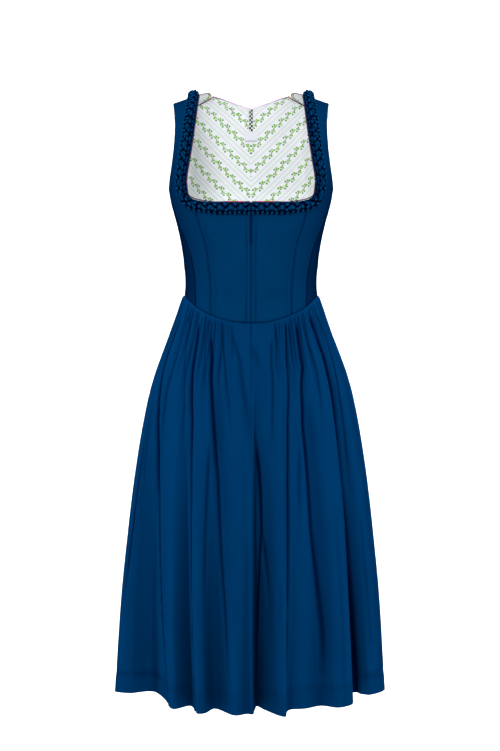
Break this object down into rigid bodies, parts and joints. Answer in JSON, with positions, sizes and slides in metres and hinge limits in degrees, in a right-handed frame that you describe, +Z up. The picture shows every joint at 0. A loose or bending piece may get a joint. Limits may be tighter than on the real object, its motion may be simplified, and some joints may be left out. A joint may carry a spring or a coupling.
{
  "type": "dirndl dress",
  "caption": "Sleeveless dirndl dress in dark blue cloth, worn form: panelled bodice with plaited neck trim, white printed lining, gathered skirt.",
  "frame": {"origin": "between the two shoulder straps, midway from front to back of the arms' line, where the straps rest on the wearer's shoulders", "axes": "+Z up along the wearer, -Y to the front, +X to the wearer's left"},
  "size_m": [0.4797, 0.462, 1.0676],
  "materials": {
    "bodice_cloth": "matt fine twill",
    "skirt_cloth": "smooth with a slight sheen",
    "lining_cloth": "matt white cotton with a green leaf vine print",
    "braid": "satin",
    "piping": "satin",
    "ribbon": "black and white checks",
    "label": "smooth",
    "zip": "matt tape"
  },
  "bodies": {
    "root": {"front_centre_left": "bodice_cloth", "front_centre_right": "bodice_cloth", "front_side_left": "bodice_cloth", "front_side_right": "bodice_cloth", "side_left": "bodice_cloth", "side_right": "bodice_cloth", "back_left": "bodice_cloth", "back_right": "bodice_cloth", "lining_front_left": "lining_cloth", "lining_front_right": "lining_cloth", "lining_side_left": "lining_cloth", "lining_side_right": "lining_cloth", "lining_back_left": "lining_cloth", "lining_back_right": "lining_cloth", "front_zip": "zip", "neck_braid_left": "braid", "neck_braid_right": "braid", "neck_piping_left": "piping", "neck_piping_right": "piping", "back_piping_left": "piping", "back_piping_right": "piping", "shoulder_piping_left": "piping", "shoulder_piping_right": "piping", "hanger_loop": "ribbon", "neck_label": "label", "skirt_front_left": "skirt_cloth", "skirt_back": "skirt_cloth", "skirt_front_right": "skirt_cloth"}
  },
  "joints": []
}
